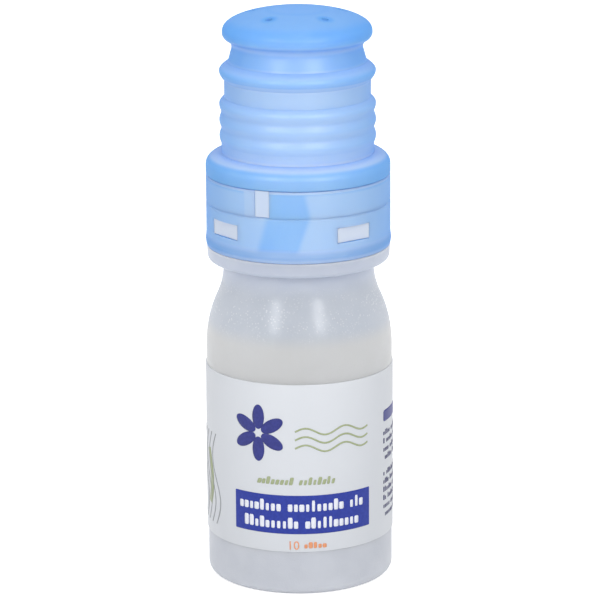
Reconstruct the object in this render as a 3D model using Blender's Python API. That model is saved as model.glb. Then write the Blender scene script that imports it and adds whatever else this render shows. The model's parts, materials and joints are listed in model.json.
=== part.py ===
"""Multi-dose eye drop bottle: a squeeze bottle, a valved dropper and a pull-off ribbed cap.

Metres, +Z up. The origin is the centre of the base and the bottle stands on z = 0.
The front of the label faces -Y, and angles round the axis are counted from there towards +X.
"""

import math

import bmesh
import bpy

# Clearances and facets
SEAT_GAP = 0.0003
FIT_GAP = 0.0003
SEAM_GAP = 0.00025
CUT_OVERRUN = 0.0004
AXIS_TOLERANCE = 0.00001
LARGE_SIDES = 48
SMALL_SIDES = 24

# Squeeze bottle
BODY_DIAMETER = 0.02374
BODY_HEIGHT = 0.03026
BODY_WALL = 0.0011
BASE_THICKNESS = 0.0013
BASE_EDGE_ROUND = 0.0011
BASE_FOOT_WIDTH = 0.0016
BASE_PUSH_UP = 0.0008
SHOULDER_HEIGHT = 0.0105
SHOULDER_UPPER_ARC_SHARE = 0.383
NECK_LENGTH = 0.00072
FLANGE_THICKNESS = 0.00167
FLANGE_EDGE_ROUND = 0.00064
FLANGE_TAPER = 0.00009
FLANGE_SETBACK = 0.00004
FINISH_HEIGHT = 0.00635
FINISH_WALL = 0.0009
FINISH_STEP = 0.00048
BEAD_RISE = 0.0029
BEAD_HEIGHT = 0.0014
BEAD_PROUD = 0.0005
BEAD_LAND_SHARE = 0.4
LIP_CHAMFER = 0.00025

# Label
LABEL_FOOT = 0.0059
LABEL_HEIGHT = 0.022
LABEL_THICKNESS = 0.00025
LABEL_PROUD = 0.00016

# Snap collar, tamper band and the white ring that locks them to the neck
COLLAR_SETBACK = 0.00019
COLLAR_HEIGHT = 0.00545
COLLAR_WALL = 0.0009
COLLAR_FOOT_BEAD = 0.0001
COLLAR_BEAD_SHARES = (0.14, 0.3)
WINDOW_COUNT = 4
WINDOW_FIRST_DEG = 37.0
WINDOW_WIDTH_DEG = 27.0
WINDOW_SILL = 0.00233
WINDOW_HEIGHT = 0.00198
BAND_HEIGHT = 0.0032
BAND_GAP_CENTRE_DEG = -26.8
BAND_GAP_WIDTH_DEG = 17.6
LOCK_RING_WALL = 0.0006
LOCK_RING_LIP = 0.0006
LUG_PROUD = 0.0008
SLOT_WIDTH = 0.0049
SLOT_CENTRE_DEG = -9.0
SLOT_SLANT_DEG = 8.0

# Dropper housing and the seal under its flange
HOUSING_WALL = 0.0009
HOUSING_FLANGE = 0.0008
HOUSING_PLUG_DEPTH = 0.0065
HOUSING_RISE = 0.0132
HOUSING_EDGE_CHAMFER = 0.0005
NECK_SEAL_THICKNESS = 0.0006

# Air filter at the foot of the housing
CARRIER_THICKNESS = 0.0012
FEED_TUBE_DIAMETER = 0.0038
FEED_BORE_DIAMETER = 0.002
AIR_HOLE_COUNT = 6
AIR_HOLE_DIAMETER = 0.0012
FILTER_THICKNESS = 0.0003
CLAMP_RING_HEIGHT = 0.0012
CLAMP_RING_WIDTH = 0.0011

# Nozzle tip and its spring-closed valve
TIP_RISE = 0.0052
TIP_STEM_DIAMETER = 0.0049
TIP_END_DIAMETER = 0.0038
TIP_MOUTH_DIAMETER = 0.0026
TIP_STEM_SHARE = 0.29
TIP_CONE_SHARE = 0.83
TIP_FLANGE_WIDTH = 0.0015
TIP_FLANGE_THICKNESS = 0.0008
TIP_STEM_WALL = 0.0005
TIP_END_THICKNESS = 0.0007
ORIFICE_DIAMETER = 0.0006
GUIDE_BORE_DIAMETER = 0.0021
GUIDE_BORE_LENGTH = 0.0023
SPRING_SEAT_THICKNESS = 0.0011
SPRING_SEAT_BORE_DIAMETER = 0.0012
PIN_COLLAR_THICKNESS = 0.0006
TIP_SEAL_THICKNESS = 0.0006
VALVE_TRAVEL = 0.0005
SPRING_WIRE_DIAMETER = 0.0003
SPRING_TURNS = 3.5
SPRING_POINTS_PER_TURN = 10

# Pull-off cap
CAP_SKIRT_HEIGHT = 0.0012
CAP_SKIRT_WALL = 0.0009
CAP_SHOULDER_RISE = 0.0015
CAP_BORE_GAP = 0.00042
CAP_BARREL_WALL = 0.00094
CAP_CONE_WALL = 0.00105
CAP_TOP_THICKNESS = 0.002
CAP_HEADROOM = 0.0004
GRIP_ROOT_RISE = 0.0004
GRIP_CREST_RISE = 0.00064
GRIP_RIB_SHARES = (0.203, 0.399, 0.598)
GRIP_RIB_HALF_SHARE = 0.084
WAIST_SHARES = (0.75, 0.89)
TOP_RIB_RISE = 0.00062
TOP_RIB_LIFT = 0.00062
CONE_LOWER_INSET = 0.0005
CONE_UPPER_INSET = 0.00109
DISC_OVERHANG = 0.0013
DISC_EDGE_ROUND = 0.00094
DISC_UNDERCUT = 0.00156
DOME_HEIGHT = 0.00305
DOME_RUN_POWER = 1.13
DOME_RISE_POWER = 0.81
VENT_COUNT = 5
VENT_DIAMETER = 0.0009
VENT_CIRCLE_SHARE = 0.6
CAP_SEAL_THICKNESS = 0.0011
CAP_SEAL_SKIRT = 0.0009
CAP_SEAL_WALL = 0.0008
CAP_SOCKET_WALL = 0.0008
CAP_SOCKET_DEPTH = 0.0014

# Radii that one piece takes from another, from the outside in
body_r = BODY_DIAMETER / 2
label_r = body_r + LABEL_PROUD
label_bore_r = label_r - LABEL_THICKNESS
panel_r = label_bore_r - FIT_GAP
cavity_r = body_r - BODY_WALL
collar_r = body_r - COLLAR_SETBACK
collar_bore_r = collar_r - COLLAR_WALL
flange_r = collar_r - FLANGE_SETBACK
lock_ring_r = collar_bore_r - FIT_GAP
lock_ring_bore_r = lock_ring_r - LOCK_RING_WALL
bead_r = lock_ring_bore_r - FIT_GAP
finish_r = bead_r - BEAD_PROUD
neck_r = finish_r + FINISH_STEP
finish_bore_r = finish_r - FINISH_WALL
housing_r = finish_bore_r - FIT_GAP
housing_bore_r = housing_r - HOUSING_WALL
housing_flange_r = lock_ring_bore_r - FIT_GAP
insert_r = housing_bore_r - FIT_GAP
feed_r = FEED_TUBE_DIAMETER / 2
stem_r = TIP_STEM_DIAMETER / 2
spring_chamber_r = stem_r - TIP_STEM_WALL
guide_bore_r = GUIDE_BORE_DIAMETER / 2
pin_r = guide_bore_r - FIT_GAP
pin_collar_r = spring_chamber_r - FIT_GAP
barrel_bore_r = housing_r + CAP_BORE_GAP
waist_r = barrel_bore_r + CAP_BARREL_WALL
grip_root_r = waist_r + GRIP_ROOT_RISE
cone_foot_r = waist_r - CONE_LOWER_INSET
cone_top_r = waist_r - CONE_UPPER_INSET
cone_bore_r = cone_top_r - CAP_CONE_WALL
disc_r = cone_top_r + DISC_OVERHANG
cap_seal_bore_r = TIP_END_DIAMETER / 2 + FIT_GAP
cap_seal_r = cap_seal_bore_r + CAP_SEAL_WALL
cap_socket_bore_r = cap_seal_r + FIT_GAP
cap_socket_r = cap_socket_bore_r + CAP_SOCKET_WALL
vent_circle_r = cap_socket_r + (cone_bore_r - cap_socket_r) * VENT_CIRCLE_SHARE

# Heights, from the base up
shoulder_z = BODY_HEIGHT
neck_z = shoulder_z + SHOULDER_HEIGHT
flange_z = neck_z + NECK_LENGTH
flange_top_z = flange_z + FLANGE_THICKNESS
bead_z = flange_top_z + BEAD_RISE
lip_z = flange_top_z + FINISH_HEIGHT
collar_z = flange_top_z + SEAT_GAP
collar_top_z = collar_z + COLLAR_HEIGHT
band_z = collar_top_z + SEAM_GAP
band_top_z = band_z + BAND_HEIGHT
neck_seal_z = lip_z + SEAT_GAP
housing_flange_z = neck_seal_z + NECK_SEAL_THICKNESS + SEAT_GAP
housing_flange_top_z = housing_flange_z + HOUSING_FLANGE
housing_foot_z = housing_flange_z - HOUSING_PLUG_DEPTH
housing_top_z = housing_flange_top_z + HOUSING_RISE
carrier_z = housing_foot_z + SEAT_GAP
filter_z = carrier_z + CARRIER_THICKNESS + SEAT_GAP
clamp_ring_z = filter_z + FILTER_THICKNESS + SEAT_GAP
tip_flange_top_z = housing_top_z - HOUSING_WALL - SEAT_GAP
tip_foot_z = tip_flange_top_z - TIP_FLANGE_THICKNESS
tip_top_z = housing_top_z + TIP_RISE
guide_top_z = tip_top_z - TIP_END_THICKNESS
guide_foot_z = guide_top_z - GUIDE_BORE_LENGTH
spring_seat_top_z = tip_foot_z - SEAT_GAP
spring_seat_z = spring_seat_top_z - SPRING_SEAT_THICKNESS
tip_seal_top_z = guide_top_z - SEAT_GAP
tip_seal_z = tip_seal_top_z - TIP_SEAL_THICKNESS
pin_top_z = tip_seal_z - SEAT_GAP
pin_collar_top_z = guide_foot_z - SEAT_GAP
pin_collar_z = pin_collar_top_z - PIN_COLLAR_THICKNESS
pin_foot_z = spring_seat_top_z + SEAT_GAP + VALVE_TRAVEL
skirt_z = band_top_z + SEAM_GAP
cap_shoulder_z = skirt_z + CAP_SKIRT_HEIGHT
barrel_z = cap_shoulder_z + CAP_SHOULDER_RISE
bore_step_z = housing_top_z + CAP_HEADROOM
top_rib_z = bore_step_z + TOP_RIB_LIFT
cap_seal_z = tip_top_z + SEAT_GAP
cap_ceiling_z = cap_seal_z + CAP_SEAL_THICKNESS + SEAT_GAP
disc_z = cap_ceiling_z + CAP_TOP_THICKNESS - DOME_HEIGHT
cone_top_z = disc_z - DISC_UNDERCUT


def clear_scene():
    for old in list(bpy.data.objects):
        bpy.data.objects.remove(old)


def plastic(name, color, roughness, transmission=0.0, metallic=0.0):
    """One Principled material, from the colour seen in the photograph."""
    material = bpy.data.materials.new(name)
    material.use_nodes = True
    shader = material.node_tree.nodes["Principled BSDF"]
    shader.inputs["Base Color"].default_value = (*color, 1.0)
    shader.inputs["Roughness"].default_value = roughness
    shader.inputs["Metallic"].default_value = metallic
    shader.inputs["Transmission Weight"].default_value = transmission
    return material


def add_object(name, mesh, material):
    piece = bpy.data.objects.new(name, mesh)
    bpy.context.scene.collection.objects.link(piece)
    if material is not None:
        mesh.materials.append(material)
    return piece


def arc(centre, radii, start_deg, end_deg, steps):
    """Points of an elliptical arc in the (radius, height) plane, both ends included."""
    angles = [math.radians(start_deg + (end_deg - start_deg) * i / steps) for i in range(steps + 1)]
    return [(centre[0] + radii[0] * math.cos(a), centre[1] + radii[1] * math.sin(a)) for a in angles]


def shoulder_curve(top, low, upper_share, steps):
    """Two tangent arcs from a narrow top down to a wide foot, upright at both ends."""
    run = low[0] - top[0]
    drop = top[1] - low[1]
    turn = 2 * math.atan2(run, drop)
    if abs(turn) < AXIS_TOLERANCE:
        return [top, low]
    radius_sum = drop / math.sin(turn)
    upper = upper_share * radius_sum
    lower = radius_sum - upper
    points = []
    for i in range(steps + 1):
        a = turn * i / steps
        points.append((top[0] + upper * (1 - math.cos(a)), top[1] - upper * math.sin(a)))
    for i in range(1, steps + 1):
        a = turn * (1 - i / steps)
        points.append((low[0] - lower * (1 - math.cos(a)), low[1] + lower * math.sin(a)))
    return points


def bulge(z, half_height, root_r, crest_r, steps, top_root_r=None):
    """A rounded rib, from its lower root over its crest to its upper root."""
    upper_root = root_r if top_root_r is None else top_root_r
    points = []
    for i in range(steps + 1):
        t = 2 * i / steps - 1
        root = root_r if t < 0 else upper_root
        points.append((root + (crest_r - root) * math.cos(t * math.pi / 2), z + half_height * t))
    return points


def turned(name, outline, material, sides=LARGE_SIDES):
    """Spin an outline of (radius, height) points round the axis into one closed solid."""
    shape = bmesh.new()
    points = [shape.verts.new((r, 0, z)) for r, z in outline]
    edges = [shape.edges.new(pair) for pair in zip(points, points[1:])]
    if outline[0][0] > AXIS_TOLERANCE:
        edges.append(shape.edges.new((points[-1], points[0])))
    bmesh.ops.spin(shape, geom=points + edges, cent=(0, 0, 0), axis=(0, 0, 1),
                   angle=math.tau, steps=sides, use_merge=True)
    bmesh.ops.remove_doubles(shape, verts=shape.verts, dist=AXIS_TOLERANCE)
    bmesh.ops.recalc_face_normals(shape, faces=shape.faces)
    mesh = bpy.data.meshes.new(name)
    shape.to_mesh(mesh)
    shape.free()
    mesh.shade_smooth()
    mesh.set_sharp_from_angle(angle=math.radians(35))
    return add_object(name, mesh, material)


def ring(name, inner_r, outer_r, low_z, high_z, material, sides=SMALL_SIDES):
    return turned(name, [(inner_r, low_z), (outer_r, low_z), (outer_r, high_z), (inner_r, high_z)],
                  material, sides)


def as_tool(tool):
    tool.hide_render = True
    tool.display_type = "WIRE"
    return tool


def sectors(name, centres_deg, width_deg, inner_r, outer_r, low_z, high_z, steps=4):
    """Curved blocks round the axis, for windows and lugs, as one cutting or joining tool."""
    shape = bmesh.new()
    for centre in centres_deg:
        start = math.radians(centre - width_deg / 2)
        angles = [start + math.radians(width_deg) * i / steps for i in range(steps + 1)]
        rim = [(outer_r * math.sin(a), -outer_r * math.cos(a)) for a in angles]
        rim += [(inner_r * math.sin(a), -inner_r * math.cos(a)) for a in reversed(angles)]
        face = shape.faces.new([shape.verts.new((x, y, low_z)) for x, y in rim])
        grown = bmesh.ops.extrude_face_region(shape, geom=[face])
        lifted = [item for item in grown["geom"] if isinstance(item, bmesh.types.BMVert)]
        bmesh.ops.translate(shape, verts=lifted, vec=(0, 0, high_z - low_z))
    bmesh.ops.recalc_face_normals(shape, faces=shape.faces)
    mesh = bpy.data.meshes.new(name)
    shape.to_mesh(mesh)
    shape.free()
    return as_tool(add_object(name, mesh, None))


def drills(name, places, diameter, low_z, high_z, sides=12):
    """Upright round cutters at the given (x, y) places."""
    shape = bmesh.new()
    for x, y in places:
        made = bmesh.ops.create_cone(shape, cap_ends=True, segments=sides, radius1=diameter / 2,
                                     radius2=diameter / 2, depth=high_z - low_z)
        bmesh.ops.translate(shape, verts=made["verts"], vec=(x, y, (low_z + high_z) / 2))
    mesh = bpy.data.meshes.new(name)
    shape.to_mesh(mesh)
    shape.free()
    return as_tool(add_object(name, mesh, None))


def circle_places(count, radius, first_deg=0.0):
    angles = [math.radians(first_deg + 360 * i / count) for i in range(count)]
    return [(radius * math.sin(a), -radius * math.cos(a)) for a in angles]


def combine(piece, tool, operation):
    modifier = piece.modifiers.new(operation.title(), "BOOLEAN")
    modifier.operation = operation
    modifier.solver = "EXACT"
    modifier.object = tool


def make_bottle(material):
    """Blow-moulded squeeze bottle: push-up base, label panel, round shoulder, flange and snap finish."""
    foot_r = body_r - BASE_EDGE_ROUND
    floor_z = BASE_PUSH_UP + BASE_THICKNESS
    panel_z = LABEL_FOOT - SEAT_GAP
    panel_top_z = LABEL_FOOT + LABEL_HEIGHT + SEAT_GAP
    inner_round = min(BASE_EDGE_ROUND, cavity_r / 2)
    outline = [(0, BASE_PUSH_UP), (foot_r - BASE_FOOT_WIDTH - BASE_PUSH_UP, BASE_PUSH_UP)]
    outline += [(foot_r - BASE_FOOT_WIDTH, 0)]
    outline += arc((foot_r, BASE_EDGE_ROUND), (BASE_EDGE_ROUND, BASE_EDGE_ROUND), -90, 0, 5)
    outline += [(body_r, panel_z), (panel_r, panel_z), (panel_r, panel_top_z), (body_r, panel_top_z)]
    outline += reversed(shoulder_curve((neck_r, neck_z), (body_r, shoulder_z),
                                       SHOULDER_UPPER_ARC_SHARE, 5))
    outline += [(neck_r, flange_z)]
    lower_r = flange_r - FLANGE_TAPER
    outline += arc((lower_r - FLANGE_EDGE_ROUND, flange_z + FLANGE_EDGE_ROUND),
                   (FLANGE_EDGE_ROUND, FLANGE_EDGE_ROUND), -90, 0, 4)
    outline += [(flange_r, flange_top_z), (finish_r, flange_top_z)]
    outline += [(finish_r, bead_z), (bead_r, bead_z)]
    outline += [(bead_r, bead_z + BEAD_HEIGHT * BEAD_LAND_SHARE), (finish_r, bead_z + BEAD_HEIGHT)]
    outline += [(finish_r, lip_z - LIP_CHAMFER), (finish_r - LIP_CHAMFER, lip_z)]
    outline += [(finish_bore_r, lip_z), (finish_bore_r, flange_z)]
    outline += shoulder_curve((finish_bore_r, neck_z), (cavity_r, shoulder_z),
                              SHOULDER_UPPER_ARC_SHARE, 4)
    outline += arc((cavity_r - inner_round, floor_z + inner_round), (inner_round, inner_round), 0, -90, 3)
    outline += [(0, floor_z)]
    return turned("bottle", outline, material)


def make_label(material):
    """Printed film sleeve, in the shallow panel round the bottle."""
    return ring("label", label_bore_r, label_r, LABEL_FOOT, LABEL_FOOT + LABEL_HEIGHT, material,
                LARGE_SIDES)


def make_collar(material):
    """Blue snap collar with its windows, through which the white ring's lugs show."""
    low_share, high_share = COLLAR_BEAD_SHARES
    outline = [(collar_bore_r, collar_z), (collar_r, collar_z)]
    outline += [(collar_r + COLLAR_FOOT_BEAD, collar_z + COLLAR_HEIGHT * low_share)]
    outline += [(collar_r, collar_z + COLLAR_HEIGHT * high_share)]
    outline += [(collar_r, collar_top_z), (collar_bore_r, collar_top_z)]
    collar = turned("snap_collar", outline, material)
    windows = sectors("window_cutter", window_centres(), WINDOW_WIDTH_DEG, collar_bore_r - CUT_OVERRUN,
                      collar_r + COLLAR_FOOT_BEAD + CUT_OVERRUN, window_z(), window_z() + WINDOW_HEIGHT)
    combine(collar, windows, "DIFFERENCE")
    return collar


def window_z():
    return collar_z + WINDOW_SILL


def window_centres():
    return [WINDOW_FIRST_DEG + 360 * i / WINDOW_COUNT for i in range(WINDOW_COUNT)]


def make_tamper_band(material):
    """Tear-off band over the collar, open at the tear tab."""
    band = ring("tamper_band", collar_bore_r, collar_r, band_z, band_top_z, material, LARGE_SIDES)
    opening = sectors("tear_cutter", [BAND_GAP_CENTRE_DEG], BAND_GAP_WIDTH_DEG,
                      collar_bore_r - CUT_OVERRUN, collar_r + CUT_OVERRUN,
                      band_z - CUT_OVERRUN, band_top_z + CUT_OVERRUN)
    combine(band, opening, "DIFFERENCE")
    return band


def make_lock_ring(material):
    """White split ring: hooks under the neck bead, holds the housing down, lugs in the windows."""
    hook_r = finish_r + FIT_GAP
    hook_top_z = bead_z - SEAT_GAP
    lip_low_z = housing_flange_top_z + SEAT_GAP
    lip_r = housing_r + FIT_GAP
    top_z = lip_low_z + LOCK_RING_LIP
    outline = [(hook_r, collar_z), (lock_ring_r, collar_z), (lock_ring_r, top_z), (lip_r, top_z)]
    outline += [(lip_r, lip_low_z), (lock_ring_bore_r, lip_low_z), (lock_ring_bore_r, hook_top_z)]
    outline += [(hook_r, hook_top_z)]
    lock_ring = turned("lock_ring", outline, material)
    lug_inset_deg = math.degrees(FIT_GAP / collar_bore_r)
    lugs = sectors("lug_shape", window_centres(), WINDOW_WIDTH_DEG - 2 * lug_inset_deg,
                   lock_ring_r - LOCK_RING_WALL / 2, lock_ring_r + LUG_PROUD,
                   window_z() + FIT_GAP, window_z() + WINDOW_HEIGHT - FIT_GAP)
    combine(lock_ring, lugs, "UNION")
    slot = make_slot_cutter(hook_r, collar_z, top_z)
    combine(lock_ring, slot, "DIFFERENCE")
    return lock_ring


def make_slot_cutter(inner_r, low_z, high_z):
    """Slanted block that splits the ring, so that it can spring over the neck bead."""
    depth = lock_ring_r - housing_r + 2 * CUT_OVERRUN
    height = (high_z - low_z) / math.cos(math.radians(SLOT_SLANT_DEG)) + SLOT_WIDTH
    shape = bmesh.new()
    bmesh.ops.create_cube(shape, size=1.0)
    bmesh.ops.scale(shape, verts=shape.verts, vec=(SLOT_WIDTH, 2 * depth, height))
    mesh = bpy.data.meshes.new("slot_cutter")
    shape.to_mesh(mesh)
    shape.free()
    slot = as_tool(add_object("slot_cutter", mesh, None))
    angle = math.radians(SLOT_CENTRE_DEG)
    middle_r = (inner_r + lock_ring_r) / 2
    slot.location = (middle_r * math.sin(angle), -middle_r * math.cos(angle), (low_z + high_z) / 2)
    slot.rotation_euler = (0, math.radians(SLOT_SLANT_DEG), angle)
    return slot


def make_housing(material):
    """White dropper housing: plug in the neck, flange on the seal, tall drum under the cap."""
    plate_z = housing_top_z - HOUSING_WALL
    hole_r = stem_r + FIT_GAP
    outline = [(housing_bore_r, housing_foot_z), (housing_r, housing_foot_z)]
    outline += [(housing_r, housing_flange_z), (housing_flange_r, housing_flange_z)]
    outline += [(housing_flange_r, housing_flange_top_z), (housing_r, housing_flange_top_z)]
    outline += [(housing_r, housing_top_z - HOUSING_EDGE_CHAMFER)]
    outline += [(housing_r - HOUSING_EDGE_CHAMFER, housing_top_z), (hole_r, housing_top_z)]
    outline += [(hole_r, plate_z), (housing_bore_r, plate_z)]
    return turned("nozzle_housing", outline, material)


def make_neck_seal(material):
    """Soft ring between the bottle's lip and the housing's flange."""
    return ring("neck_seal", finish_bore_r, finish_r - LIP_CHAMFER, neck_seal_z,
                neck_seal_z + NECK_SEAL_THICKNESS, material, LARGE_SIDES)


def make_filter_carrier(material):
    """Plate with air holes and the tube that feeds the tip."""
    plate_top_z = carrier_z + CARRIER_THICKNESS
    tube_top_z = spring_seat_z - SEAT_GAP
    bore_r = FEED_BORE_DIAMETER / 2
    outline = [(bore_r, carrier_z), (insert_r, carrier_z), (insert_r, plate_top_z)]
    outline += [(feed_r, plate_top_z), (feed_r, tube_top_z), (bore_r, tube_top_z)]
    carrier = turned("filter_carrier", outline, material, SMALL_SIDES)
    places = circle_places(AIR_HOLE_COUNT, (feed_r + insert_r) / 2)
    holes = drills("air_hole_cutter", places, AIR_HOLE_DIAMETER, carrier_z - CUT_OVERRUN,
                   plate_top_z + CUT_OVERRUN, 8)
    combine(carrier, holes, "DIFFERENCE")
    return carrier


def make_vent_filter(material):
    return ring("vent_filter", feed_r + FIT_GAP, insert_r, filter_z, filter_z + FILTER_THICKNESS, material)


def make_clamp_ring(material):
    return ring("filter_clamp_ring", insert_r - CLAMP_RING_WIDTH, insert_r, clamp_ring_z,
                clamp_ring_z + CLAMP_RING_HEIGHT, material)


def make_spring_seat(material):
    """Plate under the nozzle tip, with the hole that feeds the valve."""
    return ring("spring_seat", SPRING_SEAT_BORE_DIAMETER / 2, insert_r, spring_seat_z,
                spring_seat_top_z, material)


def make_nozzle_tip(material):
    """Nozzle tip, held by its flange under the housing's top and bored for the valve."""
    foot_r = stem_r + TIP_FLANGE_WIDTH
    end_r = TIP_END_DIAMETER / 2
    stem_top_z = housing_top_z + TIP_RISE * TIP_STEM_SHARE
    cone_z = housing_top_z + TIP_RISE * TIP_CONE_SHARE
    mouth_r = TIP_MOUTH_DIAMETER / 2
    orifice_r = ORIFICE_DIAMETER / 2
    outline = [(spring_chamber_r, tip_foot_z), (foot_r, tip_foot_z), (foot_r, tip_flange_top_z)]
    outline += [(stem_r, tip_flange_top_z), (stem_r, stem_top_z), (end_r, cone_z)]
    outline += arc((mouth_r, cone_z), (end_r - mouth_r, tip_top_z - cone_z), 0, 90, 4)[1:]
    outline += [(orifice_r, tip_top_z), (orifice_r, guide_top_z), (guide_bore_r, guide_top_z)]
    outline += [(guide_bore_r, guide_foot_z), (spring_chamber_r, guide_foot_z)]
    return turned("nozzle_tip", outline, material, SMALL_SIDES)


def make_valve_pin(material):
    """Pin that slides in the tip, with the collar that the spring lifts."""
    outline = [(0, pin_foot_z), (pin_r, pin_foot_z), (pin_r, pin_collar_z), (pin_collar_r, pin_collar_z)]
    outline += [(pin_collar_r, pin_collar_top_z), (pin_r, pin_collar_top_z), (pin_r, pin_top_z)]
    outline += [(0, pin_top_z)]
    pin = turned("valve_pin", outline, material, SMALL_SIDES)
    return pin


def make_tip_seal(material):
    """Soft button on the pin's end, which closes the orifice from inside."""
    outline = [(0, tip_seal_z), (pin_r, tip_seal_z), (pin_r, tip_seal_top_z), (0, tip_seal_top_z)]
    return turned("tip_seal", outline, material, SMALL_SIDES)


def make_valve_spring(material):
    """Steel coil between the spring seat and the pin's collar."""
    wire_r = SPRING_WIRE_DIAMETER / 2
    coil_r = (pin_r + spring_chamber_r) / 2
    low_z = spring_seat_top_z + SEAT_GAP + wire_r
    high_z = pin_collar_z - SEAT_GAP - wire_r
    count = round(SPRING_TURNS * SPRING_POINTS_PER_TURN)
    curve = bpy.data.curves.new("valve_spring", "CURVE")
    curve.dimensions = "3D"
    curve.bevel_depth = wire_r
    curve.bevel_resolution = 1
    curve.use_fill_caps = True
    coil = curve.splines.new("POLY")
    coil.points.add(count)
    for i, point in enumerate(coil.points):
        angle = math.tau * i / SPRING_POINTS_PER_TURN
        rise = (high_z - low_z) * i / count
        point.co = (coil_r * math.cos(angle), coil_r * math.sin(angle), low_z + rise, 1)
    return add_object("valve_spring", curve, material)


def cap_outer_outline():
    """The cap's outside from the skirt's foot to the top of the dome."""
    grip = top_rib_z - barrel_z
    crest_r = waist_r + GRIP_CREST_RISE
    points = [(collar_r, skirt_z)]
    points += arc((grip_root_r, cap_shoulder_z), (collar_r - grip_root_r, CAP_SHOULDER_RISE), 0, 90, 6)
    for share in GRIP_RIB_SHARES[:-1]:
        points += bulge(barrel_z + grip * share, grip * GRIP_RIB_HALF_SHARE, grip_root_r, crest_r, 4)
    last_z = barrel_z + grip * GRIP_RIB_SHARES[-1]
    points += bulge(last_z, grip * GRIP_RIB_HALF_SHARE, grip_root_r, crest_r, 4)[:-1]
    points += [(waist_r, barrel_z + grip * WAIST_SHARES[0])]
    top_half = grip * (1 - WAIST_SHARES[1])
    points += bulge(top_rib_z, top_half, waist_r, waist_r + TOP_RIB_RISE, 6, cone_foot_r)
    points += [(cone_top_r, cone_top_z)]
    points += arc((disc_r - DISC_EDGE_ROUND, disc_z), (DISC_EDGE_ROUND, DISC_EDGE_ROUND), -75, 0, 4)
    for i in range(1, 10):
        a = math.radians(10 * i)
        reach = disc_r * max(math.cos(a), 0) ** DOME_RUN_POWER
        points.append((reach if i < 9 else 0, disc_z + DOME_HEIGHT * math.sin(a) ** DOME_RISE_POWER))
    return points


def make_cap(material):
    """Blue pull-off cap: skirt and shoulder, ribbed barrel, waist, domed disc with vent holes."""
    skirt_bore_r = collar_r - CAP_SKIRT_WALL
    socket_z = cap_ceiling_z - CAP_SOCKET_DEPTH
    outline = cap_outer_outline()
    inner = [(0, cap_ceiling_z), (cap_socket_bore_r, cap_ceiling_z), (cap_socket_bore_r, socket_z)]
    inner += [(cap_socket_r, socket_z), (cap_socket_r, cap_ceiling_z)]
    inner += [(cone_bore_r, cap_ceiling_z), (cone_bore_r, bore_step_z), (barrel_bore_r, bore_step_z)]
    inner += [(barrel_bore_r, cap_shoulder_z + CAP_SHOULDER_RISE - CAP_SKIRT_WALL)]
    inner += arc((grip_root_r, cap_shoulder_z),
                 (skirt_bore_r - grip_root_r, CAP_SHOULDER_RISE - CAP_SKIRT_WALL), 90, 0, 3)
    inner += [(skirt_bore_r, skirt_z)]
    outline = [*reversed(outline), *reversed(inner)]
    cap = turned("cap_shell", outline, material)
    places = circle_places(VENT_COUNT, vent_circle_r, 180 / VENT_COUNT)
    vents = drills("vent_cutter", places, VENT_DIAMETER, cap_ceiling_z - CUT_OVERRUN,
                   cap_ceiling_z + CAP_TOP_THICKNESS + CUT_OVERRUN, 10)
    combine(cap, vents, "DIFFERENCE")
    return cap


def make_cap_seal(material):
    """Soft cup under the cap's top, pressed over the nozzle's mouth when the cap is on."""
    top_z = cap_seal_z + CAP_SEAL_THICKNESS
    skirt_foot_z = cap_seal_z - CAP_SEAL_SKIRT
    outline = [(0, cap_seal_z), (cap_seal_bore_r, cap_seal_z), (cap_seal_bore_r, skirt_foot_z)]
    outline += [(cap_seal_r, skirt_foot_z), (cap_seal_r, top_z), (0, top_z)]
    return turned("cap_seal", outline, material, SMALL_SIDES)


clear_scene()

frosted = plastic("frosted_bottle", (0.72, 0.75, 0.80), 0.35, 0.35)
film = plastic("label_film", (0.86, 0.88, 0.95), 0.45)
blue = plastic("blue_closure", (0.22, 0.46, 0.93), 0.35, 0.25)
white = plastic("white_housing", (0.88, 0.89, 0.92), 0.4)
soft = plastic("soft_seal", (0.80, 0.81, 0.83), 0.6)
membrane = plastic("filter_membrane", (0.93, 0.93, 0.91), 0.85)
steel = plastic("spring_steel", (0.60, 0.61, 0.63), 0.25, 0.0, 1.0)

make_bottle(frosted)
make_label(film)
make_collar(blue)
make_tamper_band(blue)
make_lock_ring(white)
make_housing(white)
make_neck_seal(soft)
make_filter_carrier(white)
make_vent_filter(membrane)
make_clamp_ring(white)
make_spring_seat(white)
make_nozzle_tip(white)
make_valve_pin(white)
make_tip_seal(soft)
make_valve_spring(steel)
make_cap(blue)
make_cap_seal(soft)
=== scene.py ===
"""Eye drop bottle: frosted squeeze bottle, printed label, white dropper and blue snap closure.

Metres, +Z up. The front of the label faces -Y, and angles round the axis count from there towards +X.
"""

import json
import math

import bmesh
import bpy
from mathutils import Matrix, Quaternion, Vector


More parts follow.
